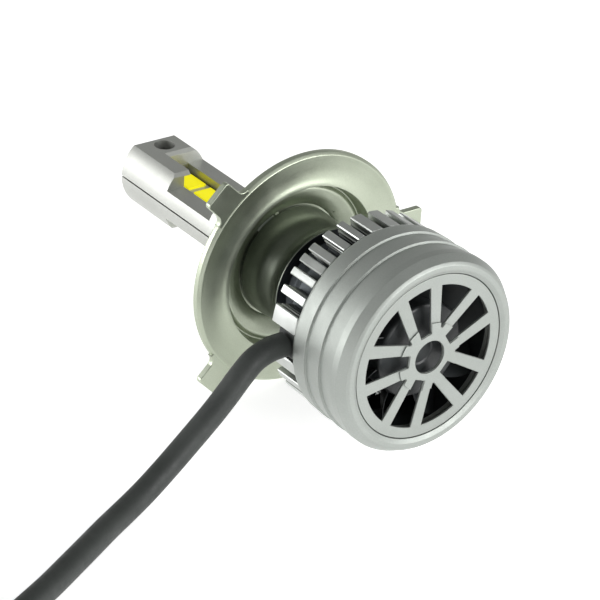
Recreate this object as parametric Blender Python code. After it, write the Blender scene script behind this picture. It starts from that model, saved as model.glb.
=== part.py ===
"""LED headlight bulb with an H4-type collar, a finned heatsink and a fan in its rear cover.

Frame: the bulb's axis is Y. The light column points to +Y and the fan cover to -Y.
The origin is the centre of the collar's seat plane, and the collar's wide lug points to +X.
The LED boards face +Z and -Z. Lengths are metres; MM turns millimetres into metres.
"""
import math

import bmesh
import bpy
from mathutils import Matrix, Vector

MM = 0.001

# ---------------------------------------------------------------- driving dimensions (mm)
FIT_GAP = 0.3            # left between two pieces that touch
STACK_GAP = 0.1          # left between thin layers that are stacked flat

COLLAR_RADIUS = 21.5     # 43 mm seat diameter
COLLAR_RIM = 1.6         # thickness of the rim, from the seat plane back
COLLAR_BORE = 9.0
RECESS_RADIUS = 15.3     # round recess in the collar's rear face
HUB_FRONT_Y = 4.6        # the collar's raised centre, ahead of the seat plane
HUB_SEAT_Y = 2.2         # where the heatsink's neck bears on it
EAR_ANGLES = (90.0, 270.0)   # bayonet ears on the heatsink's spigot, ahead of the collar
EAR_HALF_DEG = 12.0
EAR_RADIUS = 10.15
UNLOCK_DEG = 30.0        # the turn that brings the collar's slots over the ears
LUG_REACH = 26.1         # tip of a lug, from the axis
LUG_THICK = 1.2
LUG_FRONT_Y = -0.25
WIDE_LUG_WIDTH = 10.3
NARROW_LUG_WIDTH = 5.3
NARROW_LUG_ANGLE = 135.0  # each side of the wide lug
LUG_FILLET = 1.3

NECK_RADIUS = 10.2
SPIGOT_RADIUS = 8.7
SPIGOT_FRONT_Y = 9.2
NECK_BORE = 6.0
DISC_EDGE_Y = -8.2
DISC_RADIUS = 10.4
FIN_FRONT_Y = -16.5
FIN_REAR_Y = -22.6
FIN_RADIUS = 17.4
FIN_ROOT = 13.6
# The fins are uneven from the +X+Z side round to the cable notch, which two wide ones flank.
UNEVEN_FINS_DEG = (
    (56.5, 63.0), (68.0, 73.6), (79.0, 86.2), (91.0, 98.6), (103.0, 107.9), (113.0, 118.2),
    (123.7, 128.7), (131.4, 136.4), (140.4, 145.0), (151.4, 156.4), (163.0, 173.6),
    (190.9, 199.4), (206.6, 213.0),
)
EVEN_FIN_COUNT = 19      # the others follow the last of them
EVEN_FIN_PITCH_DEG = 10.5
EVEN_FIN_WIDTH_DEG = 5.2
NOTCH_LOW = (-19.0, -26.3, -3.1)
NOTCH_HIGH = (-11.0, -17.9, 2.1)
DRIVER_BAY_RADIUS = 11.8
DRIVER_BAY_FRONT_Y = -16.2
BOARD_RADIUS = 11.2      # the supply board
BOARD_Y = (-17.6, -16.7)
INDUCTOR_PLACE = (4.6, 0.0, 3.6)
CAPACITOR_PLACE = (4.2, 0.0, -4.4)

COVER_FRONT_Y = -22.9
COVER_STEP_1_Y = -26.3
COVER_STEP_2_Y = -30.2
COVER_SHOULDER_Y = -35.1
COVER_FACE_Y = -36.85
COVER_RADIUS = 17.9
COVER_BORE = 16.6
GRILLE_RADIUS = 14.8
GRILLE_Y = (-36.4, -35.6)
WINDOW_RADIUS = 12.93
WINDOW_PHASE_DEG = 32.4  # centre of the first narrow window
HUB_HOLE_RADIUS = 3.0
BLADE_COUNT = 9
STAR_RADIUS = 6.2
STAR_Y = (-36.95, -36.5)

FAN_BASE_Y = (-27.2, -26.2)
FAN_BASE_RADIUS = 7.9
FAN_RING_RADIUS = 16.3
FAN_RING_REAR_Y = -33.9
BEARING_TUBE_RADIUS = 2.4
BEARING_TUBE_BORE = 1.7
SHAFT_RADIUS = 0.7
SHAFT_CLEARANCE = 0.1
MOTOR_BOARD_Y = (-28.1, -27.5)
STATOR_Y = (-31.6, -28.5)
STATOR_RADIUS = 6.1
STATOR_ROOT = 3.8
MAGNET_RADIUS = 7.4
IMPELLER_HUB_RADIUS = 8.5
IMPELLER_Y = (-34.1, -28.4)
BLADE_TIP_RADIUS = 15.1
BLADE_SWEEP_DEG = 16.0
BLADE_ROOT_DEG = 21.0    # how far round the hub a blade reaches at its root
BLADE_TIP_DEG = 16.0

COLUMN_TIP_Y = 43.4
COLUMN_BLOCK_Y = 37.8    # the window ends here
COLUMN_PRONG_Y = 30.0    # and here on the side of the narrow lugs
COLUMN_WINDOW_Y = 16.5
COLUMN_SOCKET_Y = -6.0
COLUMN_NEAR_RADIUS = 7.35   # on the side of the narrow lugs
COLUMN_FAR_RADIUS = 6.7
COLUMN_SOCKET_RADIUS = 5.65
COLUMN_FLAT_Z = 5.5
SHELF_Z = 2.7            # the flat shelves on both sides of the LED channel
CHANNEL_X = (-3.2, 2.95)
CHANNEL_TOP_Z = 4.8      # under the prong
PRONG_INNER_X = -1.9
RECESS_FLOOR_Z = 2.2     # of the round recess for the screw's head, and of the nut's
SPLIT_HALF_GAP = 0.15
CORE_HALF = (3.3, 0.7)   # half width and half thickness of the copper core
CORE_TIP_Y = 42.2
LED_BOARD_X = (-2.9, 2.65)
LED_BOARD_Y = (17.2, 37.4)
LED_BOARD_THICK = 0.35
CHIP_SIZE = (3.7, 4.7, 0.35)
CHIP_CENTRE_X = 0.3
CHIP_CENTRES_Y = (26.5, 32.7)
TIP_SCREW_Y = 40.7
SCREW_RADIUS = 0.85
SCREW_HEAD_RADIUS = 1.55
SCREW_HOLE_RADIUS = 1.1
NUT_RADIUS = 1.6
SEAL_THICK_RADIUS = 0.75

CABLE_DIAMETER = 4.2
GROMMET_OUTER_X = -17.0
FLOOR_Z = -COLLAR_RADIUS
PLUG_SIZE = (27.0, 20.0, 16.0)   # width, length and height of its housing
PLUG_NECK_HALF = 6.0
PLUG_NECK_LENGTH = 4.0
BLADE_LENGTH = 8.0
BLADE_WIDTH = 8.0
BLADE_THICK = 0.8
SIDE_BLADE_X = 9.5       # from the plug's middle to each side blade's middle
SIDE_BLADE_BASE = 3.4    # above the plug's underside
CROSS_BLADE_BASE = 12.6

# The free cable's centreline, from the grommet to the plug. It drops to the level of the
# collar's rim, lies there and rises a little into the back of the plug.
CABLE_ROUTE = [
    (-17.6, -20.5, -0.5), (-20.5, -20.6, -0.6), (-23.6, -20.8, -1.5), (-26.3, -21.0, -3.6),
    (-28.8, -21.0, -6.3), (-31.6, -21.0, -9.1), (-34.6, -21.0, -11.8), (-37.9, -21.2, -14.4),
    (-41.6, -21.8, -16.7), (-45.8, -23.0, -18.4), (-50.5, -24.9, -19.2), (-56.0, -27.6, -19.4),
    (-64.0, -32.0, -19.4), (-74.0, -37.3, -19.4), (-85.0, -42.0, -19.4), (-96.0, -44.0, -19.2),
    (-106.0, -42.0, -18.3), (-113.5, -36.5, -16.6), (-117.5, -28.5, -14.6), (-118.5, -20.0, -13.6),
]


# ---------------------------------------------------------------- building tools
def clear_scene():
    for old in list(bpy.data.objects):
        bpy.data.objects.remove(old, do_unlink=True)


def make_material(name, color, roughness, metallic):
    material = bpy.data.materials.new(name)
    material.use_nodes = True
    shader = material.node_tree.nodes["Principled BSDF"]
    shader.inputs["Base Color"].default_value = (*color, 1.0)
    shader.inputs["Roughness"].default_value = roughness
    shader.inputs["Metallic"].default_value = metallic
    return material


def add_object(name, mesh_data, material=None):
    """Turn a bmesh into an object; a guide has no material and is hidden."""
    bmesh.ops.remove_doubles(mesh_data, verts=mesh_data.verts, dist=1e-7)
    bmesh.ops.recalc_face_normals(mesh_data, faces=mesh_data.faces)
    mesh = bpy.data.meshes.new(name)
    mesh_data.to_mesh(mesh)
    mesh_data.free()
    mesh.shade_smooth()
    mesh.set_sharp_from_angle(angle=math.radians(32))
    new = bpy.data.objects.new(name, mesh)
    bpy.context.collection.objects.link(new)
    if material:
        mesh.materials.append(material)
    else:
        new.hide_render = True
        new.display_type = "WIRE"
    return new


def polar(radius, degrees):
    """A point (x, z) in a plane square to the bulb's axis; 0 is +X and 90 is +Z."""
    angle = math.radians(degrees)
    return (radius * math.cos(angle), radius * math.sin(angle))


def arc(radius, start, end, steps, centre=(0.0, 0.0)):
    points = []
    for step in range(steps + 1):
        x, z = polar(radius, start + (end - start) * step / steps)
        points.append((x + centre[0], z + centre[1]))
    return points


def turned(profile, segments):
    """Spin a closed outline of (radius, y) points, in mm, about the Y axis."""
    shape = bmesh.new()
    verts = [shape.verts.new((r * MM, y * MM, 0.0)) for r, y in profile]
    edges = []
    for index, vert in enumerate(verts):
        following = verts[(index + 1) % len(verts)]
        on_axis = vert.co.x < 1e-9 and following.co.x < 1e-9
        if not on_axis:
            edges.append(shape.edges.new((vert, following)))
    bmesh.ops.spin(shape, geom=verts + edges, cent=(0, 0, 0), axis=(0, 1, 0),
                   angle=2 * math.pi, steps=segments, use_merge=True)
    return shape


def tube_profile(bore, radius, y_range):
    """The outline to spin for a tube, or for a rod when its bore is 0."""
    rear, front = y_range
    return [(bore, front), (radius, front), (radius, rear), (bore, rear)]


def prism(outline, y_start, y_end):
    """Extrude a closed outline of (x, z) points, in mm, along Y."""
    shape = bmesh.new()
    verts = [shape.verts.new((x * MM, y_start * MM, z * MM)) for x, z in outline]
    face = shape.faces.new(verts)
    moved = bmesh.ops.extrude_face_region(shape, geom=[face])
    tips = [item for item in moved["geom"] if isinstance(item, bmesh.types.BMVert)]
    bmesh.ops.translate(shape, verts=tips, vec=(0.0, (y_end - y_start) * MM, 0.0))
    return shape


def box(low, high):
    """A block between two corners, in mm."""
    outline = [(low[0], low[2]), (high[0], low[2]), (high[0], high[2]), (low[0], high[2])]
    return prism(outline, low[1], high[1])


def upright(radius, centre, z_start, z_end, segments=20):
    """A round bar along Z, in mm."""
    shape = bmesh.new()
    middle = (centre[0] * MM, centre[1] * MM, (z_start + z_end) / 2 * MM)
    bmesh.ops.create_cone(shape, cap_ends=True, segments=segments, radius1=radius * MM,
                          radius2=radius * MM, depth=abs(z_end - z_start) * MM,
                          matrix=Matrix.Translation(middle))
    return shape


def merged(shapes):
    """Put several closed shapes into one mesh, for a cutter."""
    result = bmesh.new()
    for shape in shapes:
        temporary = bpy.data.meshes.new("temporary")
        shape.to_mesh(temporary)
        shape.free()
        result.from_mesh(temporary)
        bpy.data.meshes.remove(temporary)
    return result


def combine(target, other, operation):
    modifier = target.modifiers.new(f"{operation.lower()}_{other.name}", "BOOLEAN")
    modifier.operation = operation
    modifier.solver = "EXACT"
    modifier.object = other


def cut(target, name, shape):
    combine(target, add_object(name, shape), "DIFFERENCE")


def join(target, name, shape):
    combine(target, add_object(name, shape), "UNION")


# ---------------------------------------------------------------- materials
SATIN_METAL = make_material("satin_metal", (0.46, 0.48, 0.40), 0.38, 0.9)
FIN_METAL = make_material("fin_metal", (0.42, 0.44, 0.43), 0.42, 0.85)
COVER_PAINT = make_material("cover_paint", (0.42, 0.44, 0.44), 0.45, 0.6)
COLUMN_METAL = make_material("column_metal", (0.62, 0.62, 0.60), 0.45, 0.85)
BLACK_PLASTIC = make_material("black_plastic", (0.02, 0.022, 0.024), 0.4, 0.0)
BLACK_RUBBER = make_material("black_rubber", (0.03, 0.033, 0.032), 0.7, 0.0)
COPPER = make_material("copper", (0.72, 0.42, 0.28), 0.35, 1.0)
BOARD_GREEN = make_material("board_green", (0.05, 0.18, 0.10), 0.5, 0.0)
PHOSPHOR = make_material("phosphor", (0.93, 0.90, 0.03), 0.5, 0.0)
STEEL = make_material("steel", (0.55, 0.55, 0.54), 0.3, 1.0)
FERRITE = make_material("ferrite", (0.10, 0.10, 0.11), 0.6, 0.1)


# ---------------------------------------------------------------- collar
def lug_outline(width, direction):
    """A flat lug with round inner corners, from inside the rim to its tip."""
    half = width / 2
    root = COLLAR_RADIUS - 1.4
    neck = math.sqrt(COLLAR_RADIUS ** 2 - (half + LUG_FILLET) ** 2)
    right = [(root, half + LUG_FILLET), (neck, half + LUG_FILLET)]
    fillet = arc(LUG_FILLET, 180, 270, 3, (neck + 0.35 + LUG_FILLET, half + LUG_FILLET))
    right += fillet
    right += [(LUG_REACH - 0.6, half), (LUG_REACH, half - 0.6)]
    left = [(x, -z) for x, z in reversed(right)]
    turn = Matrix.Rotation(math.radians(direction), 2)
    return [tuple(turn @ Vector(point)) for point in right + left]


def build_collar():
    profile = [
        (COLLAR_BORE, HUB_FRONT_Y), (13.2, HUB_FRONT_Y), (14.9, 3.7), (16.2, 1.9), (16.8, 0.5),
        (17.4, 0.0), (21.1, 0.0), (COLLAR_RADIUS, -0.35), (COLLAR_RADIUS, 0.5 - COLLAR_RIM),
        (21.0, -COLLAR_RIM), (19.8, -1.38), (18.2, -1.25), (16.8, -1.4), (15.8, -1.7),
        (RECESS_RADIUS + 0.15, -1.72), (RECESS_RADIUS, -1.6), (14.85, 0.9), (14.72, 1.25),
        (14.52, 1.25), (14.42, 0.85), (14.2, 0.62), (13.8, 0.5), (13.2, 0.58),
        (10.7, 1.85), (10.55, HUB_SEAT_Y), (COLLAR_BORE, HUB_SEAT_Y),
    ]
    collar = add_object("collar_flange", turned(profile, 60), SATIN_METAL)
    lugs = (("wide_lug", WIDE_LUG_WIDTH, 0.0),
            ("upper_lug", NARROW_LUG_WIDTH, NARROW_LUG_ANGLE),
            ("lower_lug", NARROW_LUG_WIDTH, -NARROW_LUG_ANGLE))
    for name, width, direction in lugs:
        outline = lug_outline(width, direction)
        join(collar, name, prism(outline, LUG_FRONT_Y - LUG_THICK, LUG_FRONT_Y))
    slots = []
    for angle in EAR_ANGLES:
        slots.append(sector(7.5, EAR_RADIUS + FIT_GAP, angle + UNLOCK_DEG, EAR_HALF_DEG + 2.0,
                            HUB_SEAT_Y - 0.2, HUB_FRONT_Y + 1.0))
    cut(collar, "bayonet_slots", merged(slots))


# ---------------------------------------------------------------- heatsink
def fin(low, high):
    """One fin between two angles; its root is buried in the core."""
    steps = 3 if high - low > 6 else 1
    outline = [polar(FIN_ROOT - 0.3, low)] + arc(FIN_RADIUS, low, high, steps)
    outline.append(polar(FIN_ROOT - 0.3, high))
    return prism(outline, FIN_REAR_Y, FIN_FRONT_Y)


def fins():
    shapes = [fin(*span) for span in UNEVEN_FINS_DEG]
    last = sum(UNEVEN_FINS_DEG[-1]) / 2
    for index in range(1, EVEN_FIN_COUNT + 1):
        centre = last + index * EVEN_FIN_PITCH_DEG
        shapes.append(fin(centre - EVEN_FIN_WIDTH_DEG / 2, centre + EVEN_FIN_WIDTH_DEG / 2))
    return merged(shapes)


def sector(inner, outer, middle, half, y_start, y_end):
    """A block between two radii and two angles round the bulb's axis."""
    outline = arc(outer, middle - half, middle + half, 3)
    outline += [polar(inner, middle + half), polar(inner, middle - half)]
    return prism(outline, y_start, y_end)


def build_heatsink():
    outer = [
        (SPIGOT_RADIUS - 0.3, SPIGOT_FRONT_Y), (SPIGOT_RADIUS, SPIGOT_FRONT_Y - 0.3), (SPIGOT_RADIUS, 1.9),
        (NECK_RADIUS, 1.9), (10.15, 0.0), (9.95, -2.0), (9.45, -3.9), (9.2, -5.3),
        (9.45, -6.6), (DISC_RADIUS - 0.1, DISC_EDGE_Y + 0.2), (DISC_RADIUS, DISC_EDGE_Y),
        (DISC_RADIUS - 0.1, -8.55), (8.4, -8.9), (8.1, -9.6), (8.1, -12.4), (9.0, -13.4),
        (FIN_ROOT + 0.2, FIN_FRONT_Y + 0.4), (FIN_ROOT + 0.2, FIN_REAR_Y - 0.1),
    ]
    inner = [
        (DRIVER_BAY_RADIUS, FIN_REAR_Y - 0.1), (DRIVER_BAY_RADIUS, DRIVER_BAY_FRONT_Y),
        (NECK_BORE + 1.0, DRIVER_BAY_FRONT_Y), (NECK_BORE, DRIVER_BAY_FRONT_Y + 1.0),
        (NECK_BORE, SPIGOT_FRONT_Y),
    ]
    heatsink = add_object("heatsink_body", turned(outer + inner, 48), FIN_METAL)
    join(heatsink, "fins", fins())
    register = tube_profile(15.2, 16.3, (-25.8, FIN_REAR_Y + 0.5))
    join(heatsink, "cover_register", turned(register, 48))
    ears = []
    for angle in EAR_ANGLES:
        ears.append(sector(SPIGOT_RADIUS - 1.0, EAR_RADIUS, angle, EAR_HALF_DEG,
                           HUB_FRONT_Y + FIT_GAP, HUB_FRONT_Y + 1.5))
    join(heatsink, "bayonet_ears", merged(ears))
    cut(heatsink, "cable_notch", box(NOTCH_LOW, NOTCH_HIGH))


def build_driver():
    """The supply board in the bay behind the neck, with its main components on its rear face."""
    add_object("driver_board", turned(tube_profile(0.0, BOARD_RADIUS, BOARD_Y), 36), BOARD_GREEN)
    rear = BOARD_Y[0] - STACK_GAP
    inductor = turned(tube_profile(0.9, 2.9, (rear - 3.4, rear)), 20)
    place(add_object("driver_inductor", inductor, FERRITE), INDUCTOR_PLACE)
    capacitor = turned(tube_profile(0.0, 2.2, (rear - 4.6, rear)), 18)
    place(add_object("driver_capacitor", capacitor, FERRITE), CAPACITOR_PLACE)
    add_object("driver_chip", box((-6.2, rear - 1.4, 2.6), (-1.4, rear, 7.0)), BLACK_PLASTIC)


def place(piece, offset):
    piece.location = Vector(offset) * MM


# ---------------------------------------------------------------- fan and rear cover
def build_fan():
    rear, front = FAN_BASE_Y
    tube_bore = BEARING_TUBE_BORE
    base = tube_profile(tube_bore + 0.5, FAN_BASE_RADIUS, FAN_BASE_Y)
    tube = tube_profile(tube_bore, BEARING_TUBE_RADIUS, (STATOR_Y[0] - FIT_GAP, front))
    ring = tube_profile(FAN_RING_RADIUS - 0.7, FAN_RING_RADIUS, (FAN_RING_REAR_Y, front))
    frame = add_object("fan_frame", turned(base, 36), BLACK_PLASTIC)
    join(frame, "bearing_tube", turned(tube, 24))
    join(frame, "fan_ring", turned(ring, 48))
    for index in range(4):
        strut = box((FAN_BASE_RADIUS - 0.5, rear, -0.9), (FAN_RING_RADIUS - 0.4, front, 0.9))
        strut.transform(Matrix.Rotation(math.radians(45 + 90 * index), 4, "Y"))
        join(frame, f"fan_strut_{index + 1}", strut)
    board = tube_profile(BEARING_TUBE_RADIUS + FIT_GAP, FAN_BASE_RADIUS - 0.7, MOTOR_BOARD_Y)
    add_object("fan_circuit_board", turned(board, 28), BOARD_GREEN)
    bearing = tube_profile(SHAFT_RADIUS + SHAFT_CLEARANCE, tube_bore - STACK_GAP,
                           (STATOR_Y[0] - 0.1, front - 0.6))
    add_object("fan_bearing", turned(bearing, 20), COPPER)
    build_stator()
    shaft_rear = IMPELLER_Y[0] + 0.9 + FIT_GAP
    shaft = tube_profile(0.0, SHAFT_RADIUS, (shaft_rear, front - 0.4))
    add_object("fan_shaft", turned(shaft, 16), STEEL)
    magnet = tube_profile(MAGNET_RADIUS - 0.9, MAGNET_RADIUS,
                          (shaft_rear + STACK_GAP, IMPELLER_Y[1] - FIT_GAP))
    add_object("fan_magnet_ring", turned(magnet, 32), FERRITE)
    build_impeller()


def build_stator():
    """A round core with four wide poles and a bore for the bearing tube."""
    outline = []
    for index in range(4):
        centre = 45 + 90 * index
        outline += arc(STATOR_RADIUS, centre - 32, centre + 32, 5)
        outline += [polar(STATOR_ROOT, centre + 38), polar(STATOR_ROOT, centre + 52)]
    stator = add_object("fan_stator", prism(outline, *STATOR_Y), FERRITE)
    bore = arc(BEARING_TUBE_RADIUS + FIT_GAP, 0, 345, 23)
    cut(stator, "stator_bore", prism(bore, STATOR_Y[0] - 1.4, STATOR_Y[1] + 1.5))


def build_impeller():
    """A cup round the motor with nine swept blades."""
    rear, front = IMPELLER_Y
    radius = IMPELLER_HUB_RADIUS
    cup = [
        (0.0, rear + 0.9), (radius - 0.8, rear + 0.9), (radius - 0.8, front), (radius, front),
        (radius, rear + 0.5), (radius - 0.4, rear), (0.0, rear),
    ]
    impeller = add_object("fan_impeller", turned(cup, 40), BLACK_PLASTIC)
    blades = []
    for index in range(BLADE_COUNT):
        blades.append(blade(360.0 * index / BLADE_COUNT))
    join(impeller, "fan_blades", merged(blades))


def blade(angle):
    """One pitched blade, swept from the hub to its tip."""
    shape = bmesh.new()
    root = IMPELLER_HUB_RADIUS - 0.3
    rings = []
    for station in range(4):
        share = station / 3
        radius = root + (BLADE_TIP_RADIUS - root) * share
        sweep = angle + BLADE_SWEEP_DEG * share
        half_turn = (BLADE_ROOT_DEG + (BLADE_TIP_DEG - BLADE_ROOT_DEG) * share) / 2
        ring = []
        for along, depth in ((-1, -33.5), (-1, -32.9), (1, -28.7), (1, -29.3)):
            x, z = polar(radius, sweep + along * half_turn)
            ring.append(shape.verts.new((x * MM, depth * MM, z * MM)))
        rings.append(ring)
    for inner, outer in zip(rings, rings[1:]):
        for index in range(4):
            following = (index + 1) % 4
            shape.faces.new((inner[index], inner[following], outer[following], outer[index]))
    shape.faces.new(rings[0])
    shape.faces.new(rings[-1])
    return shape


def build_cover():
    profile = [
        (COVER_BORE, COVER_FRONT_Y), (17.55, COVER_FRONT_Y), (17.7, COVER_FRONT_Y - 0.2),
        (17.78, COVER_STEP_1_Y + 0.1), (17.7, COVER_STEP_1_Y), (17.35, COVER_STEP_1_Y - 0.35),
        (17.55, COVER_STEP_1_Y - 1.3), (17.84, COVER_STEP_2_Y + 0.1), (17.76, COVER_STEP_2_Y),
        (17.4, COVER_STEP_2_Y - 0.35), (17.6, COVER_STEP_2_Y - 1.3),
        (COVER_RADIUS, COVER_SHOULDER_Y + 0.6), (COVER_RADIUS - 0.05, COVER_SHOULDER_Y),
        (17.65, -35.8), (17.2, -36.5), (16.8, COVER_FACE_Y), (15.3, COVER_FACE_Y),
        (15.1, COVER_FACE_Y + 0.2), (15.1, GRILLE_Y[1] + 0.2), (13.4, GRILLE_Y[1] + 0.2),
        (13.4, -34.5), (COVER_BORE, -34.5),
    ]
    add_object("rear_cover", turned(profile, 64), COVER_PAINT)


def window_outlines():
    """Five narrow windows inside the spoke pairs and five wide ones between the pairs."""
    outlines = []
    for index in range(5):
        narrow = WINDOW_PHASE_DEG + 72.0 * index
        inner = [polar(math.hypot(4.2, 1.1), narrow + side * 14.7) for side in (1, -1)]
        outlines.append(arc(WINDOW_RADIUS, narrow - 10.35, narrow + 10.35, 4) + inner)
        wide = narrow + 36.0
        inner = [polar(5.4, wide + 1.8), polar(5.4, wide - 1.8)]
        outlines.append(arc(WINDOW_RADIUS, wide - 15.4, wide + 15.4, 5) + inner)
    return outlines


def disc_with_windows(name, radius, y_range, segments, material):
    rear, front = y_range
    disc = add_object(name, turned(tube_profile(HUB_HOLE_RADIUS, radius, y_range), segments),
                      material)
    windows = merged([prism(outline, rear - 2, front + 2) for outline in window_outlines()])
    cut(disc, f"{name}_windows", windows)


def build_grille():
    disc_with_windows("wheel_grille", GRILLE_RADIUS, GRILLE_Y, 60, COVER_PAINT)
    disc_with_windows("hub_star", STAR_RADIUS, STAR_Y, 40, COVER_PAINT)


# ---------------------------------------------------------------- light column
def half_section(outline, side):
    """Mirror an outline of the +Z half to the -Z half when side is -1."""
    return [(x, z * side) for x, z in outline]


def half_round(radius, far_radius, top):
    """The +Z half of a bar: a round near side, a flat top and a round far side."""
    base = SPLIT_HALF_GAP
    near_start = 180 - math.degrees(math.asin(base / radius))
    near_end = 180 - math.degrees(math.asin(top / radius))
    far_start = math.degrees(math.asin(top / far_radius))
    far_end = math.degrees(math.asin(base / far_radius))
    return arc(radius, near_start, near_end, 6) + arc(far_radius, far_start, far_end, 6)


def build_column_shell(name, side):
    """One half of the column: a bar with a window milled over the LEDs and a prong beside it."""
    bar = half_section(half_round(COLUMN_NEAR_RADIUS, COLUMN_FAR_RADIUS, COLUMN_FLAT_Z), side)
    shape = prism(bar, SPIGOT_FRONT_Y + FIT_GAP, COLUMN_TIP_Y)
    shell = add_object(name, shape, COLUMN_METAL)
    socket = half_round(COLUMN_SOCKET_RADIUS, COLUMN_SOCKET_RADIUS, COLUMN_SOCKET_RADIUS - 0.05)
    spigot = prism(half_section(socket, side), COLUMN_SOCKET_Y, SPIGOT_FRONT_Y + 1.0)
    join(shell, f"{name}_socket", spigot)
    outer = COLUMN_NEAR_RADIUS + 1.0
    above = COLUMN_FLAT_Z + 1.0
    half_width, half_height = CORE_HALF
    windows = (
        ("window", (-outer, outer), (COLUMN_WINDOW_Y, COLUMN_PRONG_Y), (SHELF_Z, above)),
        ("far_window", (PRONG_INNER_X, outer), (COLUMN_PRONG_Y - 1.0, COLUMN_BLOCK_Y),
         (SHELF_Z, above)),
        ("led_channel", CHANNEL_X, (COLUMN_WINDOW_Y, COLUMN_BLOCK_Y), (0.0, CHANNEL_TOP_Z)),
        ("core_channel", (-half_width - FIT_GAP, half_width + FIT_GAP),
         (COLUMN_SOCKET_Y - 1.0, CORE_TIP_Y + FIT_GAP), (-0.5, half_height + STACK_GAP)),
    )
    for label, across, along, up in windows:
        outline = [(across[0], up[0]), (across[1], up[0]), (across[1], up[1]), (across[0], up[1])]
        cut(shell, f"{name}_{label}", prism(half_section(outline, side), *along))
    middle = (0.0, TIP_SCREW_Y)
    recess = upright(SCREW_HEAD_RADIUS + FIT_GAP, middle, side * RECESS_FLOOR_Z, side * above)
    cut(shell, f"{name}_screw_recess", recess)
    hole = upright(SCREW_HOLE_RADIUS, middle, side * -1.0, side * (RECESS_FLOOR_Z + 1.0))
    cut(shell, f"{name}_screw_hole", hole)


def build_led_core():
    half_width, half_height = CORE_HALF
    low = (-half_width, COLUMN_SOCKET_Y, -half_height)
    high = (half_width, CORE_TIP_Y, half_height)
    core = add_object("led_core", box(low, high), COPPER)
    cut(core, "core_screw_hole", upright(SCREW_HOLE_RADIUS, (0.0, TIP_SCREW_Y), -2.0, 2.0))
    width, length, depth = CHIP_SIZE
    for label, side in (("upper", 1), ("lower", -1)):
        base = side * (half_height + STACK_GAP)
        top = base + side * LED_BOARD_THICK
        board = box((LED_BOARD_X[0], LED_BOARD_Y[0], min(base, top)),
                    (LED_BOARD_X[1], LED_BOARD_Y[1], max(base, top)))
        add_object(f"led_board_{label}", board, COLUMN_METAL)
        base = top + side * STACK_GAP
        top = base + side * depth
        for place_name, centre in zip(("rear", "front"), CHIP_CENTRES_Y):
            low = (CHIP_CENTRE_X - width / 2, centre - length / 2, min(base, top))
            high = (CHIP_CENTRE_X + width / 2, centre + length / 2, max(base, top))
            add_object(f"led_chip_{label}_{place_name}", box(low, high), PHOSPHOR)


def build_tip_screw():
    axis = (0.0, TIP_SCREW_Y)
    seat = RECESS_FLOOR_Z + FIT_GAP
    screw = add_object("tip_screw", upright(SCREW_RADIUS, axis, -seat - 1.7, seat + 0.3), STEEL)
    join(screw, "tip_screw_head", upright(SCREW_HEAD_RADIUS, axis, seat, seat + 1.2))
    cut(screw, "tip_screw_socket", upright(0.7, axis, seat + 0.5, seat + 2.0, 6))
    nut = add_object("tip_nut", upright(NUT_RADIUS, axis, -seat, -seat - 1.4, 6), STEEL)
    cut(nut, "tip_nut_hole", upright(SCREW_RADIUS + FIT_GAP, axis, 0.0, -seat - 3.0))


def build_seal():
    """A round rubber ring on the spigot, ahead of the bayonet ears."""
    centre = (SPIGOT_RADIUS + SEAL_THICK_RADIUS + FIT_GAP, HUB_FRONT_Y + 2.75)
    profile = arc(SEAL_THICK_RADIUS, 0, 315, 7, centre)
    add_object("collar_seal_ring", turned(profile, 40), BLACK_RUBBER)


# ---------------------------------------------------------------- cable and plug
def build_grommet():
    middle = (NOTCH_LOW[2] + NOTCH_HIGH[2]) / 2
    low = (GROMMET_OUTER_X, COVER_FRONT_Y + FIT_GAP, middle - 2.3)
    high = (-12.1, NOTCH_HIGH[1] - FIT_GAP, middle + 2.3)
    add_object("cable_grommet", box(low, high), BLACK_RUBBER)


def smooth_route(points, spacing):
    """Read evenly spaced points from a Catmull-Rom curve through the route."""
    points = [Vector(point) for point in points]
    ends = [2 * points[0] - points[1]] + points + [2 * points[-1] - points[-2]]
    dense = []
    for before, start, end, after in zip(ends, ends[1:], ends[2:], ends[3:]):
        for step in range(20):
            t = step / 20
            dense.append(0.5 * (2 * start + (end - before) * t
                                + (2 * before - 5 * start + 4 * end - after) * t ** 2
                                + (3 * start - before - 3 * end + after) * t ** 3))
    dense.append(points[-1])
    lengths = [0.0]
    for first, second in zip(dense, dense[1:]):
        lengths.append(lengths[-1] + (second - first).length)
    count = round(lengths[-1] / spacing)
    result = []
    index = 0
    for number in range(count + 1):
        target = lengths[-1] * number / count
        while index < len(dense) - 2 and lengths[index + 1] < target:
            index += 1
        share = (target - lengths[index]) / (lengths[index + 1] - lengths[index])
        result.append(dense[index].lerp(dense[index + 1], share))
    return result


def build_cable():
    points = smooth_route(CABLE_ROUTE, 1.5 * CABLE_DIAMETER)
    curve = bpy.data.curves.new("power_cable", "CURVE")
    curve.dimensions = "3D"
    curve.bevel_depth = CABLE_DIAMETER / 2 * MM
    curve.bevel_resolution = 2
    curve.use_fill_caps = True
    spline = curve.splines.new("POLY")
    spline.points.add(len(points) - 1)
    for target, point in zip(spline.points, points):
        target.co = (*(point * MM), 1.0)
    curve.materials.append(BLACK_RUBBER)
    cable = bpy.data.objects.new("power_cable", curve)
    bpy.context.collection.objects.link(cable)


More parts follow.
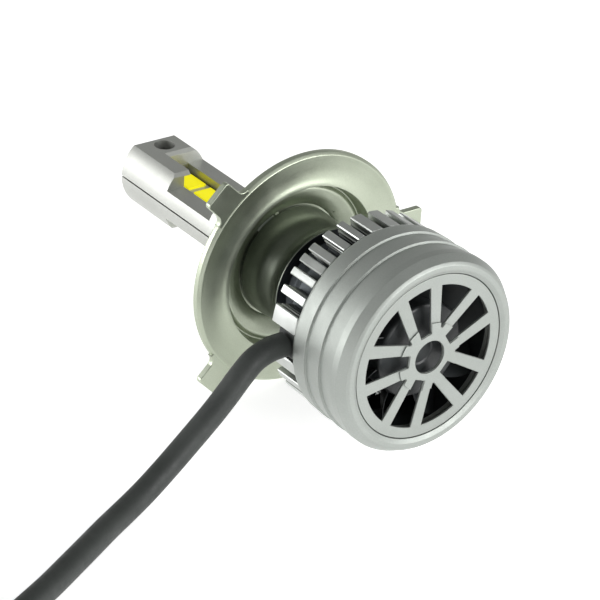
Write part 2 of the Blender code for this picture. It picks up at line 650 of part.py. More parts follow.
def build_plug():
    """A three-blade plug that the lamp's own socket accepts; its blades point to +Y."""
    width, length, height = PLUG_SIZE
    x, y, _ = CABLE_ROUTE[-1]
    rear = y + FIT_GAP
    base = FLOOR_Z
    low = (x - width / 2, rear + PLUG_NECK_LENGTH, base)
    high = (x + width / 2, rear + length, base + height)
    plug = add_object("plug_housing", box(low, high), BLACK_PLASTIC)
    neck = box((x - PLUG_NECK_HALF, rear, base + 2.5),
               (x + PLUG_NECK_HALF, rear + PLUG_NECK_LENGTH + 1.0, base + height - 2.5))
    join(plug, "plug_neck", neck)
    blades = (
        ("left", x - SIDE_BLADE_X, BLADE_THICK, SIDE_BLADE_BASE, BLADE_WIDTH),
        ("right", x + SIDE_BLADE_X, BLADE_THICK, SIDE_BLADE_BASE, BLADE_WIDTH),
        ("cross", x, BLADE_WIDTH, CROSS_BLADE_BASE, BLADE_THICK),
    )
    start = rear + length + FIT_GAP
    for label, middle, across, bottom, tall in blades:
        low = (middle - across / 2, start, base + bottom)
        high = (middle + across / 2, start + BLADE_LENGTH, base + bottom + tall)
        add_object(f"plug_blade_{label}", box(low, high), STEEL)


def main():
    clear_scene()
    build_collar()
    build_seal()
    build_heatsink()
    build_driver()
    build_fan()
    build_cover()
    build_grille()
    build_column_shell("column_shell_upper", 1)
    build_column_shell("column_shell_lower", -1)
    build_led_core()
    build_tip_screw()
    build_grommet()
    build_cable()
    build_plug()


main()
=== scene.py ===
"""Looks of the LED headlight bulb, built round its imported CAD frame.

The bulb's axis is Y: the light column points to +Y, the fan cover to -Y and the wide lug to +X.
Outlines and places in the building functions are in millimetres; MM turns them into metres.
"""
import math

import bmesh
import bpy
from mathutils import Matrix, Vector


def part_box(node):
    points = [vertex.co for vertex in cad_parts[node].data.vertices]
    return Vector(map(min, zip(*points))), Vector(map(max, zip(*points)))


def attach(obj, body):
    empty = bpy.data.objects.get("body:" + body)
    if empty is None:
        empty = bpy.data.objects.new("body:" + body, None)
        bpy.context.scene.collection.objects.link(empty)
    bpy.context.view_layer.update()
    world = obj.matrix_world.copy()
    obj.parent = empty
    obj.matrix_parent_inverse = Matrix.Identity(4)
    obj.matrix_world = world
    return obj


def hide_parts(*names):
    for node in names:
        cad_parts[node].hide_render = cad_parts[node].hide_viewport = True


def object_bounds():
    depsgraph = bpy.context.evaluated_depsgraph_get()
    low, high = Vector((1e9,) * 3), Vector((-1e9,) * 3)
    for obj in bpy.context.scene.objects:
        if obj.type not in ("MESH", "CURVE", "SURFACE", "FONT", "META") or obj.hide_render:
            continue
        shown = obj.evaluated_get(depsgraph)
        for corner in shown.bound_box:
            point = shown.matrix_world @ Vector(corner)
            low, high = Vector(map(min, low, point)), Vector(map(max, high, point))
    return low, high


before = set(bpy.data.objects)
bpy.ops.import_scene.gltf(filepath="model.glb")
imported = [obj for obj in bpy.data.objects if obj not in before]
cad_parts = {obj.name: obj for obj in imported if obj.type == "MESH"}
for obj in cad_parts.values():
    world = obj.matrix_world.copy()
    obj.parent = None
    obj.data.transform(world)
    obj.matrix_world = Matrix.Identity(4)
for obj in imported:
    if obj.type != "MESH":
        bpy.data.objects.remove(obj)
cad_low, cad_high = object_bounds()

MM = 0.001


def corners(node):
    """A CAD node's lowest and highest corners, in mm."""
    low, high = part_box(node)
    return low / MM, high / MM


# ---------------------------------------------------------------- sizes read from the frame (mm)
_, COLLAR_HIGH = corners("collar_flange")
_, HEATSINK_HIGH = corners("heatsink_body")
COVER_LOW, COVER_HIGH = corners("rear_cover")
GRILLE_LOW, GRILLE_HIGH = corners("wheel_grille")
STAR_LOW, STAR_HIGH = corners("hub_star")
_, SHELL_HIGH = corners("column_shell_upper")
CORE_LOW, CORE_HIGH = corners("led_core")
PLUG_LOW, PLUG_HIGH = corners("plug_housing")
GROMMET_LOW, GROMMET_HIGH = corners("cable_grommet")
SEAL_LOW, SEAL_HIGH = corners("collar_seal_ring")
SCREW_LOW, SCREW_HIGH = corners("tip_screw")
NUT_LOW, NUT_HIGH = corners("tip_nut")

COLLAR_RADIUS = COLLAR_HIGH.z
LUG_REACH = COLLAR_HIGH.x
HUB_FRONT_Y = COLLAR_HIGH.y
SPIGOT_FRONT_Y = HEATSINK_HIGH.y
FIN_RADIUS = HEATSINK_HIGH.x
COVER_RADIUS = COVER_HIGH.x
COVER_FACE_Y = COVER_LOW.y
COVER_FRONT_Y = COVER_HIGH.y
COLUMN_TIP_Y = SHELL_HIGH.y
TIP_SCREW_Y = (SCREW_LOW.y + SCREW_HIGH.y) / 2

# ---------------------------------------------------------------- details (mm)
GAP = 0.3                      # between pieces that fit into each other
OUTSIDE = 1.0                  # how far a cutter stands out of what it cuts

COLLAR_BORE = 9.0
HUB_SEAT_Y = 2.2
RECESS_RADIUS = 15.3
LUG_FRONT_Y = -0.25
LUG_THICK = 1.2
WIDE_LUG_WIDTH = 10.3
NARROW_LUG_WIDTH = 5.3
NARROW_LUG_ANGLE = 135.0
LUG_ROOT_DEPTH = 1.4           # how far a lug reaches in from the rim
LUG_FILLET = 1.3
LUG_FILLET_OFFSET = 0.35       # between the rim and the start of the fillet
LUG_CORNER = 0.7
SLOT_ANGLES = (120.0, 300.0)   # the collar's slots, a twelfth of a turn past the ears
SLOT_HALF_DEG = 14.0
SLOT_INNER_RADIUS = 7.5
DIMPLE_RADIUS = 11.3           # where the small punched dot sits in the recess
DIMPLE_ANGLE = 40.3
EAR_ANGLES = (90.0, 270.0)
EAR_HALF_DEG = 12.0
EAR_RADIUS = 10.15
EAR_LENGTH = 1.2

SPIGOT_RADIUS = 8.7
NECK_BORE = 6.0
BAY_RADIUS = 11.8              # of the driver's bay behind the neck
BAY_FLOOR_Y = -15.6
FLARE_EDGE_Y = -8.45           # the rear edge of the flare disc; the cone behind it gets painted shade
FIN_ROOT = 13.6
FIN_FRONT_Y = -16.5
FIN_REAR_Y = -22.6
FIN_CORE_RADIUS = 12.2
FIN_EDGE = 0.14
FIN_CORNER = 0.16
REGISTER_RADII = (15.2, 16.3)  # the ring that centres the rear cover
REGISTER_Y = (FIN_REAR_Y + 0.5, -25.8)
NOTCH_X = (-19.0, -11.0)       # the way in for the cable's grommet
UNEVEN_FINS_DEG = (            # (start, end) of each fin on the cast side; the rest are even
    (56.5, 63.0), (68.0, 73.6), (79.0, 86.2), (91.0, 98.6), (103.0, 107.9), (113.0, 118.2),
    (123.7, 128.7), (131.4, 136.4), (140.4, 145.0), (151.4, 156.4), (163.0, 173.6),
    (190.9, 199.4), (206.6, 213.0),
)
EVEN_FIN_COUNT = 19
EVEN_FIN_PITCH_DEG = 10.5
EVEN_FIN_WIDTH_DEG = 5.2
SERRATIONS = 4
SERRATION_DEPTH = 0.13

COVER_BORE = 16.6
COVER_EYE_RADIUS = 14.95       # the opening that shows the grille
LEDGE_RADIUS = 13.4            # of the ledge that the grille rests on
LEDGE_Y = (-35.3, -34.5)

WINDOW_RADIUS = 12.93
WINDOW_PHASE_DEG = 32.4
NARROW_WINDOW_HALF_DEG = 10.35
NARROW_INNER_RADIUS = math.hypot(4.2, 1.1)   # its inner corners lie 4.2 out and 1.1 to each side
NARROW_INNER_HALF_DEG = 14.7
WIDE_WINDOW_HALF_DEG = 15.4
WIDE_INNER_RADIUS = 5.4
WIDE_INNER_HALF_DEG = 1.8
WINDOW_BEVEL = 0.07
HUB_HOLE_RADIUS = 3.0
DISC_RIM = 1.3
DISC_EDGE = 0.1
GRILLE_SHEET = 0.4
STAR_SHEET = 0.15
STAR_RECESS = 0.3              # how much thinner than its CAD solid the star's sheet is

BLADE_COUNT = 9
BLADE_RADII = (8.2, 15.1)
BLADE_SWEEP_DEG = 16.0
BLADE_WIDTH_DEG = (21.0, 16.0)  # at the hub and at the tip
BLADE_SECTION = (              # (place across the blade from -1 to 1, y)
    (-1.0, -33.45), (-0.96, -33.1), (-0.3, -31.6), (0.4, -30.0), (1.0, -28.7),
    (0.97, -29.15), (0.35, -30.5), (-0.4, -32.2), (-0.93, -33.5),
)
FAN_PLATE_Y = (-26.2, -27.2)
FAN_TUBE_RADII = (1.7, 2.4)
FAN_TUBE_END_Y = -31.9
FAN_RING_RADII = (15.6, 16.3)
FAN_RING_END_Y = -33.9
STRUT_COUNT = 4
STRUT_X = (7.4, 15.9)
STRUT_HALF_WIDTH = 0.9

BLOCK_Y = 37.8                 # rear of the block at the column's tip
PRONG_Y = 30.2                 # rear of the prong that runs back from the block
WINDOW_Y = 16.5                # rear of the window over the LEDs
SOCKET_Y = CORE_LOW.y
NEAR_RADIUS = 7.35             # of the column, on the side of the narrow lugs
FAR_RADIUS = 6.7
FLAT_Z = 5.5
SHELF_Z = 2.7
CHANNEL_X = (-3.2, 2.95)
CHANNEL_TOP_Z = 4.8
PRONG_INNER_X = -1.9
RECESS_FLOOR_Z = 2.2
TIP_RECESS_RADIUS = 1.9
TIP_HOLE_RADIUS = 1.1
SPLIT_HALF_GAP = 0.15
END_BEVEL = 0.6
TIP_EDGE = 0.2
SOCKET_RADIUS = 5.65           # of the column's foot, inside the spigot
SOCKET_TOP_Z = 5.6

SCREW_SHANK_RADIUS = 0.85
SCREW_HEAD_RADIUS = 1.55
SCREW_HEAD_HEIGHT = 1.2
SCREW_SOCKET_RADIUS = 0.72
SCREW_SOCKET_DEPTH = 0.7
NUT_RADIUS = 1.6
NUT_BORE = 1.15

PLUG_NECK = 4.0
PLUG_CORNER = 2.2
NECK_STEPS = 4
NECK_PITCH = 1.05
NECK_HALF_WIDTH = 6.0
GRIP_COUNT = 5
GRIP_START = 2.6
GRIP_PITCH = 2.0
GRIP_WIDTH = 1.2
GRIP_HALF_HEIGHT = 4.5
POCKET_WALL = (1.9, 1.4)       # beside and above the blades
POCKET_DEPTH = 0.5

CABLE_DIAMETER = 4.2
CABLE_ROUTE = [
    (-17.6, -20.5, -0.5), (-20.5, -20.6, -0.6), (-23.6, -20.8, -1.5), (-26.3, -21.0, -3.6),
    (-28.8, -21.0, -6.3), (-31.6, -21.0, -9.1), (-34.6, -21.0, -11.8), (-37.9, -21.2, -14.4),
    (-41.6, -21.8, -16.7), (-45.8, -23.0, -18.4), (-50.5, -24.9, -19.2), (-56.0, -27.6, -19.4),
    (-64.0, -32.0, -19.4), (-74.0, -37.3, -19.4), (-85.0, -42.0, -19.4), (-96.0, -44.0, -19.2),
    (-106.0, -42.0, -18.3), (-113.5, -36.5, -16.6), (-117.5, -28.5, -14.6), (-118.5, -20.0, -13.6),
]

# ---------------------------------------------------------------- camera
CAMERA_AT = (-0.25847, -0.32722, 0.22180)
CAMERA_AZIMUTH = -38.457
CAMERA_ELEVATION = 28.740
CAMERA_ROLL = 4.131
CAMERA_LENS = 165.32           # on a 36 mm sensor


def add_camera():
    azimuth = math.radians(CAMERA_AZIMUTH)
    elevation = math.radians(CAMERA_ELEVATION)
    back = Vector((math.sin(azimuth) * math.cos(elevation),
                   -math.cos(azimuth) * math.cos(elevation), math.sin(elevation)))
    level = (-back).to_track_quat("-Z", "Y").to_matrix().to_4x4()
    roll = Matrix.Rotation(math.radians(CAMERA_ROLL), 4, "Z")
    data = bpy.data.cameras.new("camera")
    data.lens = CAMERA_LENS
    data.sensor_width = 36.0
    data.clip_start = 0.01
    camera = bpy.data.objects.new("camera", data)
    camera.matrix_world = Matrix.Translation(CAMERA_AT) @ level @ roll
    bpy.context.collection.objects.link(camera)
    bpy.context.scene.camera = camera


# ---------------------------------------------------------------- outlines
def polar(radius, degrees):
    """A point (x, z) square to the bulb's axis; 0 is +X and 90 is +Z."""
    angle = math.radians(degrees)
    return (radius * math.cos(angle), radius * math.sin(angle))


def arc(radius, start, end, steps, centre=(0.0, 0.0)):
    points = []
    for step in range(steps + 1):
        x, z = polar(radius, start + (end - start) * step / steps)
        points.append((x + centre[0], z + centre[1]))
    return points


def rounded(outline, radius, step_deg=15.0):
    """Round the corners of a closed outline. A point may carry its own radius as a third number."""
    straight = math.radians(6)     # a corner flatter than this stays as it is
    longest_share = 0.48           # of an edge that one corner may use
    result = []
    count = len(outline)
    for index in range(count):
        here = Vector(outline[index][:2])
        before = Vector(outline[index - 1][:2]) - here
        after = Vector(outline[(index + 1) % count][:2]) - here
        wanted = outline[index][2] if len(outline[index]) > 2 else radius
        turn = math.pi - before.angle(after)
        if turn < straight or wanted <= 0:
            result.append(tuple(here))
            continue
        reach = min(wanted * math.tan(turn / 2), longest_share * before.length,
                    longest_share * after.length)
        start = here + before.normalized() * reach
        end = here + after.normalized() * reach
        steps = max(2, math.ceil(math.degrees(turn) / step_deg))
        for step in range(steps + 1):
            t = step / steps
            result.append(tuple(start * (1 - t) ** 2 + here * 2 * t * (1 - t) + end * t ** 2))
    return result


def catmull(points, steps):
    """A smooth open curve through points, as Vectors."""
    points = [Vector(point) for point in points]
    ends = [2 * points[0] - points[1]] + points + [2 * points[-1] - points[-2]]
    dense = []
    for before, start, end, after in zip(ends, ends[1:], ends[2:], ends[3:]):
        for step in range(steps):
            t = step / steps
            dense.append(0.5 * (2 * start + (end - before) * t
                                + (2 * before - 5 * start + 4 * end - after) * t ** 2
                                + (3 * start - before - 3 * end + after) * t ** 3))
    dense.append(points[-1])
    return dense


def rectangle(across, up):
    """The corners of a rectangle, from its range across and its range up."""
    return [(across[0], up[0]), (across[1], up[0]), (across[1], up[1]), (across[0], up[1])]


def smooth_run(points, steps):
    """A smooth open curve through points, as pairs."""
    return [tuple(point) for point in catmull(points, steps)]


def inset(outline, distance):
    """Move a closed outline inwards by distance, each point along its corner's bisector."""
    sharpest = 0.4                 # keeps the point of a very sharp corner from running away
    area = sum(a[0] * b[1] - b[0] * a[1] for a, b in zip(outline, outline[1:] + outline[:1]))
    side = 1 if area > 0 else -1
    moved = []
    count = len(outline)
    for index in range(count):
        here = Vector(outline[index])
        into = (here - Vector(outline[index - 1])).normalized()
        out = (Vector(outline[(index + 1) % count]) - here).normalized()
        normal_in = Vector((-into.y, into.x)) * side
        normal_out = Vector((-out.y, out.x)) * side
        bisector = normal_in + normal_out
        if bisector.length < 1e-6:
            moved.append(tuple(here))
            continue
        bisector.normalize()
        moved.append(tuple(here + bisector * distance / max(bisector.dot(normal_in), sharpest)))
    return moved


# ---------------------------------------------------------------- solids
def axis_point(axis, across, along, height):
    """Place an outline's point: outlines lie in XZ for axis Y, in YZ for X and in XY for Z."""
    if axis == "Y":
        return Vector((across, along, height)) * MM
    if axis == "X":
        return Vector((along, across, height)) * MM
    return Vector((across, height, along)) * MM


def loft(sections, axis="Y"):
    """A closed solid through sections, each a place along the axis and an outline."""
    shape = bmesh.new()
    rings = []
    for along, outline in sections:
        rings.append([shape.verts.new(axis_point(axis, a, along, b)) for a, b in outline])
    for first, second in zip(rings, rings[1:]):
        for index in range(len(first)):
            following = (index + 1) % len(first)
            shape.faces.new((first[index], first[following], second[following], second[index]))
    shape.faces.new(rings[0])
    shape.faces.new(rings[-1])
    return shape


def soft_prism(outline, start, end, edge=0.0, axis="Y", steps=3):
    """Extrude an outline along an axis, with its end edges rounded by a radius of edge."""
    if edge <= 0:
        return loft([(start, outline), (end, outline)], axis)
    sign = 1 if end > start else -1
    first = []
    last = []
    for step in range(steps + 1):
        angle = math.pi / 2 * step / steps
        ring = inset(outline, edge * (1 - math.sin(angle)))
        rise = edge * (1 - math.cos(angle))
        first.append((start + sign * rise, ring))
        last.append((end - sign * rise, ring))
    return loft(first + last[::-1], axis)


def turned(profile, segments=144):
    """Spin a closed outline of (radius, y) points about the bulb's axis."""
    shape = bmesh.new()
    verts = [shape.verts.new((r * MM, y * MM, 0.0)) for r, y in profile]
    edges = []
    for index, vert in enumerate(verts):
        following = verts[(index + 1) % len(verts)]
        if vert.co.x > 1e-9 or following.co.x > 1e-9:
            edges.append(shape.edges.new((vert, following)))
    bmesh.ops.spin(shape, geom=verts + edges, cent=(0, 0, 0), axis=(0, 1, 0),
                   angle=2 * math.pi, steps=segments, use_merge=True)
    return shape


def upright(radius, z_start, z_end, sides=48):
    """A round bar along Z, on the axis of the tip's screw."""
    ring = arc(radius, 0, 360 - 360 / sides, sides - 1, (0.0, TIP_SCREW_Y))
    return loft([(z_start, ring), (z_end, ring)], "Z")


def merged(shapes):
    """One mesh that holds several separate ones."""
    result = bmesh.new()
    for shape in shapes:
        temporary = bpy.data.meshes.new("temporary")
        shape.to_mesh(temporary)
        shape.free()
        result.from_mesh(temporary)
        bpy.data.meshes.remove(temporary)
    return result


def add_object(name, shape):
    """Turn a finished shape into an object of the scene."""
    bmesh.ops.remove_doubles(shape, verts=shape.verts, dist=1e-8)
    bmesh.ops.recalc_face_normals(shape, faces=shape.faces)
    mesh = bpy.data.meshes.new(name)
    shape.to_mesh(mesh)
    shape.free()
    piece = bpy.data.objects.new(name, mesh)
    bpy.context.collection.objects.link(piece)
    return piece


def combine(piece, shape, operation):
    """Unite a piece with a shape or cut the shape out of it, and keep only the result."""
    other = add_object("guide", shape)
    modifier = piece.modifiers.new(operation, "BOOLEAN")
    modifier.operation = operation
    modifier.solver = "EXACT"
    modifier.object = other
    graph = bpy.context.evaluated_depsgraph_get()
    result = bpy.data.meshes.new_from_object(piece.evaluated_get(graph))
    piece.modifiers.clear()
    piece.data = result
    bpy.data.objects.remove(other, do_unlink=True)


def join(piece, shape):
    combine(piece, shape, "UNION")


def cut(piece, shape):
    combine(piece, shape, "DIFFERENCE")


def dress(piece, material, node, body="bulb", sharp_deg=33.0):
    """Shade a finished piece, give it its material and let it stand for its CAD node."""
    piece.data.shade_smooth()
    piece.data.set_sharp_from_angle(angle=math.radians(sharp_deg))
    normals = piece.modifiers.new("face_weighted_normals", "WEIGHTED_NORMAL")
    normals.keep_sharp = True
    piece.data.materials.clear()
    piece.data.materials.append(material)
    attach(piece, body)
    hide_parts(node)
    return piece


# ---------------------------------------------------------------- materials
class Finish:
    """A material whose nodes read the object's own coordinates, in metres."""

    def __init__(self, name, roughness, metallic=0.0, specular=0.5):
        self.material = bpy.data.materials.new(name)
        self.material.use_nodes = True
        self.nodes = self.material.node_tree.nodes
        self.links = self.material.node_tree.links
        self.shader = self.nodes["Principled BSDF"]
        self.shader.inputs["Metallic"].default_value = metallic
        self.shader.inputs["Roughness"].default_value = roughness
        self.shader.inputs["Specular IOR Level"].default_value = specular
        self.place = self.nodes.new("ShaderNodeTexCoord").outputs["Object"]

    def stretched(self, stretch):
        mapping = self.nodes.new("ShaderNodeMapping")
        mapping.inputs["Scale"].default_value = stretch
        self.links.new(self.place, mapping.inputs["Vector"])
        return mapping.outputs["Vector"]

    def noise(self, scale, detail=2.0, stretch=None, roughness=0.5):
        node = self.nodes.new("ShaderNodeTexNoise")
        node.inputs["Scale"].default_value = scale
        node.inputs["Detail"].default_value = detail
        node.inputs["Roughness"].default_value = roughness
        source = self.stretched(stretch) if stretch else self.place
        self.links.new(source, node.inputs["Vector"])
        return node.outputs["Fac"]

    def spread(self, value, low, high):
        """Map a noise's usual range to low..high."""
        node = self.nodes.new("ShaderNodeMapRange")
        node.inputs["From Min"].default_value = 0.32
        node.inputs["From Max"].default_value = 0.68
        node.inputs["To Min"].default_value = low
        node.inputs["To Max"].default_value = high
        self.links.new(value, node.inputs["Value"])
        return node.outputs["Result"]

    def mix(self, factor, first, second):
        node = self.nodes.new("ShaderNodeMix")
        node.data_type = "RGBA"
        for socket, color in (("A", first), ("B", second)):
            plug = next(s for s in node.inputs if s.name == socket and s.type == "RGBA")
            if isinstance(color, tuple):
                plug.default_value = (*color, 1.0)
            else:
                self.links.new(color, plug)
        self.links.new(factor, node.inputs["Factor"])
        return next(s for s in node.outputs if s.type == "RGBA")

    def color(self, value):
        self.links.new(value, self.shader.inputs["Base Color"])

    def roughness(self, value):
        self.links.new(value, self.shader.inputs["Roughness"])

    def bump(self, *layers):
        """Stack height layers, each (value, depth in metres), into one normal."""
        normal = None
        for height, depth in layers:
            node = self.nodes.new("ShaderNodeBump")
            node.inputs["Strength"].default_value = 1.0
            node.inputs["Distance"].default_value = depth
            self.links.new(height, node.inputs["Height"])
            if normal:
                self.links.new(normal, node.inputs["Normal"])
            normal = node.outputs["Normal"]
        self.links.new(normal, self.shader.inputs["Normal"])


def metal_finish(name, dark, light, roughness, grain, grain_depth, metallic=1.0, stretch=None):
    """A satin metal: broad drifts of tone, a mottle of small specks and a fine grain."""
    finish = Finish(name, roughness, metallic)
    drift = finish.spread(finish.noise(90.0, 3.0), 0.0, 1.0)
    specks = finish.spread(finish.noise(4200.0, 3.0), 0.0, 0.4)
    darker = tuple(0.86 * channel for channel in dark)
    finish.color(finish.mix(specks, finish.mix(drift, dark, light), darker))
    finish.roughness(finish.spread(finish.noise(300.0, 3.0), roughness - 0.03, roughness + 0.04))
    finish.bump((finish.noise(grain, 2.0, stretch), grain_depth))
    return finish.material


def fin_finish():
    """Silver on the fins' tops, with painted shade that darkens them to near black towards their roots."""
    painted_shade_below, silver_above = FIN_RADIUS - 2.4, FIN_RADIUS - 0.7
    finish = Finish("fin_metal", 0.36, 1.0)
    drift = finish.spread(finish.noise(300.0, 3.0), 0.0, 1.0)
    silver = finish.mix(drift, (0.50, 0.52, 0.50), (0.58, 0.60, 0.58))
    split = finish.nodes.new("ShaderNodeSeparateXYZ")
    finish.links.new(finish.place, split.inputs["Vector"])
    flat = finish.nodes.new("ShaderNodeCombineXYZ")
    finish.links.new(split.outputs["X"], flat.inputs["X"])
    finish.links.new(split.outputs["Z"], flat.inputs["Z"])
    radius = finish.nodes.new("ShaderNodeVectorMath")
    radius.operation = "LENGTH"
    finish.links.new(flat.outputs["Vector"], radius.inputs[0])
    depth = finish.nodes.new("ShaderNodeMapRange")
    depth.inputs["From Min"].default_value = painted_shade_below * MM
    depth.inputs["From Max"].default_value = silver_above * MM
    finish.links.new(radius.outputs["Value"], depth.inputs["Value"])
    # painted shade: near black at the fins' roots, turning silver towards their tips
    finish.color(finish.mix(depth.outputs["Result"], (0.045, 0.050, 0.052), silver))
    finish.roughness(finish.spread(finish.noise(420.0, 4.0), 0.32, 0.42))
    finish.bump((finish.noise(5200.0, 2.0, (1.0, 0.08, 1.0)), 0.000006),
                (finish.noise(2600.0, 2.0), 0.000006))
    return finish.material


def plastic_finish(name, dark, light, roughness, grain, grain_depth):
    """A moulded plastic or rubber with a fine skin and faint scuffs."""
    finish = Finish(name, roughness)
    drift = finish.spread(finish.noise(160.0, 4.0), 0.0, 1.0)
    dust = finish.spread(finish.noise(3000.0, 2.0), 0.0, 0.35)
    finish.color(finish.mix(dust, finish.mix(drift, dark, light), light))
    finish.roughness(finish.spread(finish.noise(700.0, 3.0), roughness - 0.07, roughness + 0.07))
    finish.bump((finish.noise(grain, 3.0), grain_depth))
    return finish.material


def phosphor_finish():
    """The grainy yellow coat of a light chip, with a faint painted glow that brightens it."""
    finish = Finish("phosphor", 0.55)
    grains = finish.spread(finish.noise(5200.0, 2.0), 0.0, 1.0)
    finish.color(finish.mix(grains, (0.86, 0.80, 0.004), (0.95, 0.90, 0.012)))
    # painted glow: a weak yellow emission that brightens the chip's coat
    finish.shader.inputs["Emission Color"].default_value = (0.95, 0.86, 0.004, 1.0)
    finish.shader.inputs["Emission Strength"].default_value = 0.62
    finish.roughness(finish.spread(finish.noise(900.0, 2.0), 0.45, 0.65))
    finish.bump((finish.noise(6000.0, 2.0), 0.00002))
    return finish.material


def board_finish(name, dark, light, roughness):
    """A solder-masked board with a faint weave."""
    finish = Finish(name, roughness)
    weave = finish.spread(finish.noise(1800.0, 1.0, (1.0, 1.0, 4.0)), 0.0, 1.0)
    finish.color(finish.mix(weave, dark, light))
    finish.roughness(finish.spread(finish.noise(500.0, 2.0), roughness - 0.08, roughness + 0.08))
    finish.bump((finish.noise(2600.0, 2.0), 0.00001))
    return finish.material


COLLAR_METAL = metal_finish("collar_metal", (0.46, 0.505, 0.40), (0.53, 0.575, 0.465), 0.38, 5200.0,
                            0.000006)
NECK_METAL = metal_finish("neck_metal", (0.20, 0.22, 0.185), (0.24, 0.26, 0.22), 0.34, 5200.0,
                          0.000003)
COVER_PAINT = metal_finish("cover_paint", (0.40, 0.425, 0.40), (0.44, 0.465, 0.44), 0.52, 4600.0,
                           0.000010, metallic=0.85)
COLUMN_METAL = metal_finish("column_metal", (0.55, 0.56, 0.53), (0.61, 0.62, 0.59), 0.50, 3600.0,
                            0.000014)
# painted shade: a near-black metal for the cone and bay behind the flare disc
CORE_PAINTED_SHADE = metal_finish("core_painted_shade", (0.050, 0.056, 0.060), (0.075, 0.082, 0.086), 0.42, 4600.0,
                         0.000006)
FIN_METAL = fin_finish()
COPPER = metal_finish("copper", (0.55, 0.28, 0.17), (0.72, 0.40, 0.26), 0.32, 3800.0, 0.000004)
STEEL = metal_finish("steel", (0.46, 0.46, 0.45), (0.58, 0.58, 0.57), 0.26, 3800.0, 0.000004,
                     stretch=(1.0, 0.1, 1.0))
DARK_STEEL = metal_finish("dark_steel", (0.09, 0.09, 0.088), (0.14, 0.14, 0.136), 0.36, 3800.0,
                          0.000004)
FERRITE = plastic_finish("ferrite", (0.05, 0.05, 0.055), (0.11, 0.11, 0.12), 0.55, 3200.0, 0.00002)
BLACK_PLASTIC = plastic_finish("black_plastic", (0.020, 0.023, 0.024), (0.034, 0.037, 0.038), 0.42,
                               4200.0, 0.000008)
FAN_PLASTIC = plastic_finish("fan_plastic", (0.024, 0.027, 0.028), (0.036, 0.040, 0.041), 0.38,
                             4200.0, 0.000006)
BLACK_RUBBER = plastic_finish("black_rubber", (0.024, 0.028, 0.026), (0.040, 0.045, 0.042), 0.55,
                              3600.0, 0.000012)
BOARD_GREEN = board_finish("board_green", (0.02, 0.11, 0.05), (0.04, 0.17, 0.08), 0.45)
BOARD_WHITE = board_finish("board_white", (0.62, 0.65, 0.60), (0.72, 0.75, 0.70), 0.40)
PHOSPHOR = phosphor_finish()


# ---------------------------------------------------------------- collar
def lug_outline(width, direction):
    """A flat lug with round inner corners, from inside the rim to its tip."""
    half = width / 2
    root = COLLAR_RADIUS - LUG_ROOT_DEPTH
    neck = math.sqrt(COLLAR_RADIUS ** 2 - (half + LUG_FILLET) ** 2)
    side = [(root, half + LUG_FILLET), (neck, half + LUG_FILLET)]
    side += arc(LUG_FILLET, 180, 270, 8, (neck + LUG_FILLET_OFFSET + LUG_FILLET, half + LUG_FILLET))
    corner = arc(LUG_CORNER, 90, 0, 6, (LUG_REACH - LUG_CORNER, half - LUG_CORNER))
    right = side + corner
    left = [(x, -z) for x, z in reversed(right)]
    turn = Matrix.Rotation(math.radians(direction), 2)
    return [tuple(turn @ Vector(point)) for point in right + left]


def build_collar():
    """A turned flange with a raised hub ahead, a domed recess behind, three lugs and two slots."""
    # once round the profile: hub and front face, rim, rear cove, recess lip, domed floor, seat
    front = rounded([(COLLAR_BORE, 3.0, 0), (COLLAR_BORE, HUB_FRONT_Y, 0.25),
                     (13.2, HUB_FRONT_Y, 1.2), (14.9, 3.7, 1.2), (16.2, 1.9, 1.0), (16.8, 0.5, 0.6),
                     (17.4, 0.0, 0.5), (COLLAR_RADIUS, 0.0, 0.3), (COLLAR_RADIUS, -0.8, 0)], 0.3)[:-1]
    rim = rounded([(21.0, -0.5, 0), (COLLAR_RADIUS, -0.6, 0), (COLLAR_RADIUS, -1.12, 0.25),
                   (20.95, -1.6, 0.25), (20.2, -1.5, 0)], 0.2)[1:-1]
    cove = smooth_run([(20.6, -1.53), (19.8, -1.38), (18.2, -1.25), (16.8, -1.4), (15.8, -1.68)], 5)
    lip = rounded([(15.8, -1.68, 0), (RECESS_RADIUS, -1.76, 0.12), (15.0, 0.3, 0), (14.86, 1.05, 0.2),
                   (14.56, 1.1, 0.14), (14.42, 0.75, 0.2), (14.15, 0.55, 0)], 0.1, 20)[1:]
    dome = smooth_run([(14.0, 0.47), (13.7, 0.44), (13.3, 0.52), (12.4, 0.86), (11.4, 1.42),
                       (10.75, 1.82)], 5)
    seat = [(10.55, 2.0), (10.5, HUB_SEAT_Y), (COLLAR_BORE, HUB_SEAT_Y)]
    collar = add_object("collar", turned(front + rim + cove + lip + dome + seat, 180))
    lugs = ((WIDE_LUG_WIDTH, 0.0), (NARROW_LUG_WIDTH, NARROW_LUG_ANGLE),
            (NARROW_LUG_WIDTH, -NARROW_LUG_ANGLE))
    for width, direction in lugs:
        outline = lug_outline(width, direction)
        join(collar, soft_prism(outline, LUG_FRONT_Y - LUG_THICK, LUG_FRONT_Y, 0.18))
    for angle in SLOT_ANGLES:
        start, end = angle - SLOT_HALF_DEG, angle + SLOT_HALF_DEG
        outline = arc(EAR_RADIUS + GAP, start, end, 10)
        outline += [polar(SLOT_INNER_RADIUS, end), polar(SLOT_INNER_RADIUS, start)]
        cut(collar, soft_prism(outline, HUB_SEAT_Y - 0.2, HUB_FRONT_Y + OUTSIDE))
    dimple_at = polar(DIMPLE_RADIUS, DIMPLE_ANGLE)
    cut(collar, loft([(0.4, arc(0.16, 0, 330, 11, dimple_at)), (2.0, arc(0.12, 0, 330, 11, dimple_at))]))
    dress(collar, COLLAR_METAL, "collar_flange", "collar")


def build_seal():
    """A round rubber ring on the spigot, ahead of the collar."""
    radius = (SEAL_HIGH.y - SEAL_LOW.y) / 2
    middle = (SEAL_HIGH.x - radius, (SEAL_HIGH.y + SEAL_LOW.y) / 2)
    ring = add_object("seal_ring", turned(arc(radius, 0, 345, 23, middle), 120))
    dress(ring, BLACK_RUBBER, "collar_seal_ring")


